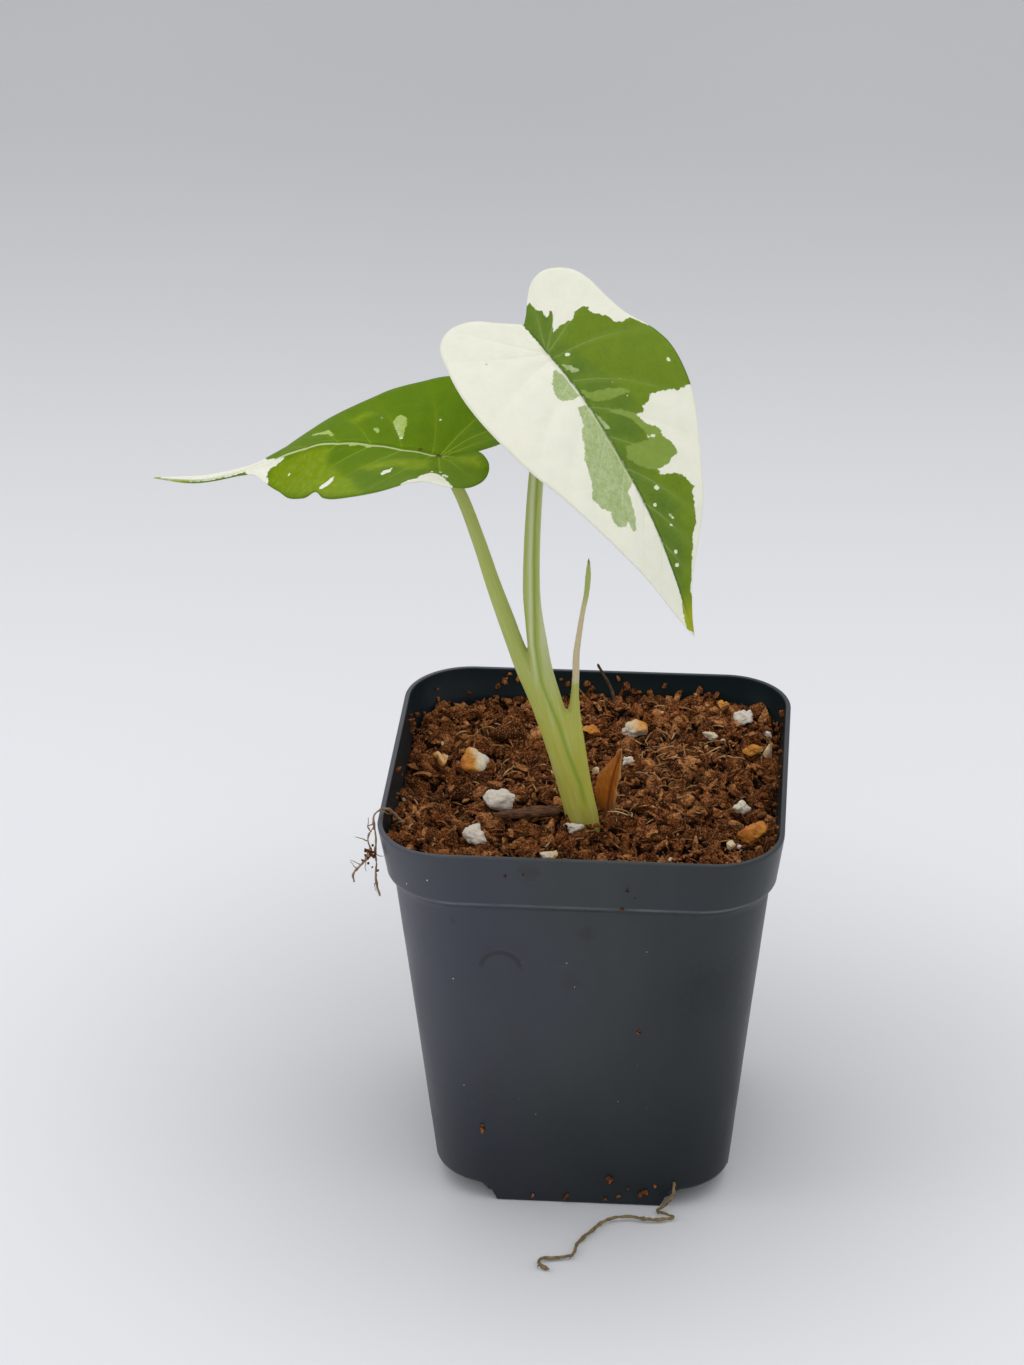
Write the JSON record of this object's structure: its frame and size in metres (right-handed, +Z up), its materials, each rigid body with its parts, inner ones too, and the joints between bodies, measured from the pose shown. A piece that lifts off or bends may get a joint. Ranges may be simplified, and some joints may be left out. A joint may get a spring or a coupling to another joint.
{
  "type": "potted variegated alocasia plant",
  "caption": "Young variegated alocasia with cream and green arrow-shaped leaves on slender stalks, in a square black nursery pot of bark and coir mix.",
  "frame": {"origin": "middle of the pot's foot, on the surface that the pot stands on", "axes": "+Z up, -Y towards the viewer of the picture, +X to the viewer's right, in line with the pot's sides"},
  "size_m": [0.1188, 0.0884, 0.1816],
  "materials": {
    "pot_plastic": "satin black moulded plastic with faint scuffs",
    "potting_mix": "rough moist coir and bark crumbs",
    "stem_skin": "smooth satin green skin with fine lengthwise streaks",
    "cream_leaf": "waxy cream leaf with green and grey-green variegation",
    "green_leaf": "glossy green leaf with a few cream marks",
    "dry_leaf": "papery orange-brown dried leaf base",
    "bark": "dark weathered bark",
    "dry_root": "rough brown dried root",
    "white_stone": "chalky white mineral grain",
    "cream_stone": "cream mineral grain",
    "amber_stone": "amber stained mineral grain"
  },
  "bodies": {
    "root": {"pot": "pot_plastic", "soil": "potting_mix", "stem": "stem_skin", "right_leaf": "cream_leaf", "left_leaf": "green_leaf", "dry_sheath": "dry_leaf", "bark_chip": "bark", "floor_root": "dry_root", "rim_root": "dry_root", "back_twig": "dry_root", "stone_white_large": "white_stone", "stone_white_front": "white_stone", "stone_cream_slanted": "cream_stone", "stone_yellow_left": "amber_stone", "stone_cream_back": "cream_stone", "stone_amber_back": "amber_stone", "stone_white_back": "white_stone", "stone_cream_low": "cream_stone", "stone_amber_right": "amber_stone", "stone_white_right": "white_stone", "stone_orange_lump": "amber_stone", "stone_cream_rim": "cream_stone", "stone_white_foot": "white_stone", "stone_white_middle": "white_stone", "stone_amber_far": "amber_stone"}
  },
  "joints": []
}
